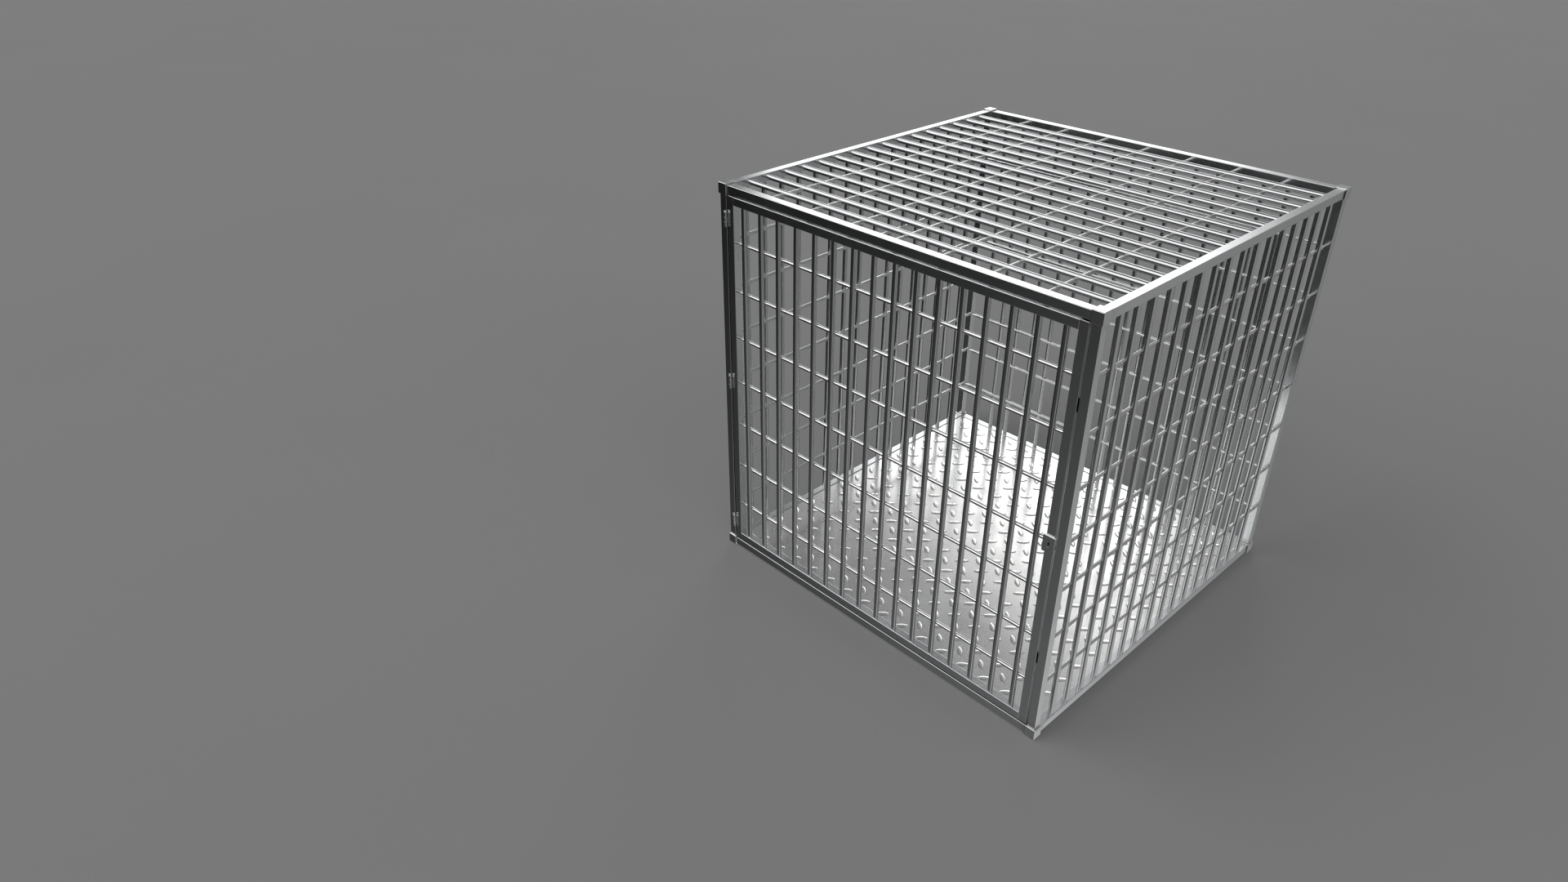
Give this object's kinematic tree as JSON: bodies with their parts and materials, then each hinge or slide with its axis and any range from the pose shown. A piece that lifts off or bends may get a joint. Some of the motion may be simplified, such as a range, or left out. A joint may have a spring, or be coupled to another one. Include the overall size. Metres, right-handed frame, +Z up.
{
  "type": "kennel cage",
  "caption": "Cube-shaped steel kennel cage with welded rod grilles, solid corner blocks, a tread plate floor and a side-hinged grille door with a key-operated bolt.",
  "frame": {"origin": "middle of the cage's footprint, on the floor", "axes": "+Z up, +Y to the back, so the door is the -Y face, and +X to the lock side, so the hinges are on the -X side"},
  "size_m": [1, 1.0051, 1],
  "materials": {
    "frame_tube": "polished, with fine grinding lines along each tube",
    "corner_block": "polished solid block with softened edges",
    "grille_rod": "bright drawn rod",
    "tread_plate": "satin plate with raised lens-shaped lugs, brighter on the lugs",
    "hinge": "machined",
    "lock_plate": "polished plate",
    "lock_works": "machined, lightly greased",
    "lock_spring": "tempered strip"
  },
  "bodies": {
    "cage": {"corner_bottom_front_left": "corner_block", "corner_bottom_front_right": "corner_block", "corner_bottom_back_left": "corner_block", "corner_bottom_back_right": "corner_block", "corner_top_front_left": "corner_block", "corner_top_front_right": "corner_block", "corner_top_back_left": "corner_block", "corner_top_back_right": "corner_block", "rail_bottom_front": "frame_tube", "rail_bottom_back": "frame_tube", "rail_bottom_left": "frame_tube", "rail_bottom_right": "frame_tube", "rail_top_front": "frame_tube", "rail_top_back": "frame_tube", "rail_top_left": "frame_tube", "rail_top_right": "frame_tube", "post_front_left": "frame_tube", "post_front_right": "frame_tube", "post_back_left": "frame_tube", "post_back_right": "frame_tube", "grille_left": "grille_rod", "grille_right": "grille_rod", "grille_back": "grille_rod", "grille_top": "grille_rod", "floor_plate": "tread_plate", "floor_bearer_front": "frame_tube", "floor_bearer_back": "frame_tube", "hinge_lower_frame_leaf": "hinge", "hinge_middle_frame_leaf": "hinge", "hinge_upper_frame_leaf": "hinge", "hinge_lower_pin": "hinge", "hinge_middle_pin": "hinge", "hinge_upper_pin": "hinge", "door_stop_lower": "frame_tube", "door_stop_upper": "frame_tube"},
    "door": {"door_stile_left": "frame_tube", "door_stile_right": "frame_tube", "door_rail_bottom": "frame_tube", "door_rail_top": "frame_tube", "door_grille": "grille_rod", "hinge_lower_door_leaf": "hinge", "hinge_middle_door_leaf": "hinge", "hinge_upper_door_leaf": "hinge", "lock_plate": "lock_plate", "lock_case": "lock_works", "lock_spring": "lock_spring"},
    "bolt": {"lock_bolt": "lock_works"}
  },
  "joints": [
    {"name": "door_swing", "type": "hinge", "parent": "cage", "child": "door", "pos_m": [-0.4747, -0.5013, 0.5], "axis": [0, 0, -1], "range_deg": [0, 180]},
    {"name": "bolt_slide", "type": "slide", "parent": "door", "child": "bolt", "axis": [1, 0, 0], "range_m": [0, 0.009]}
  ]
}
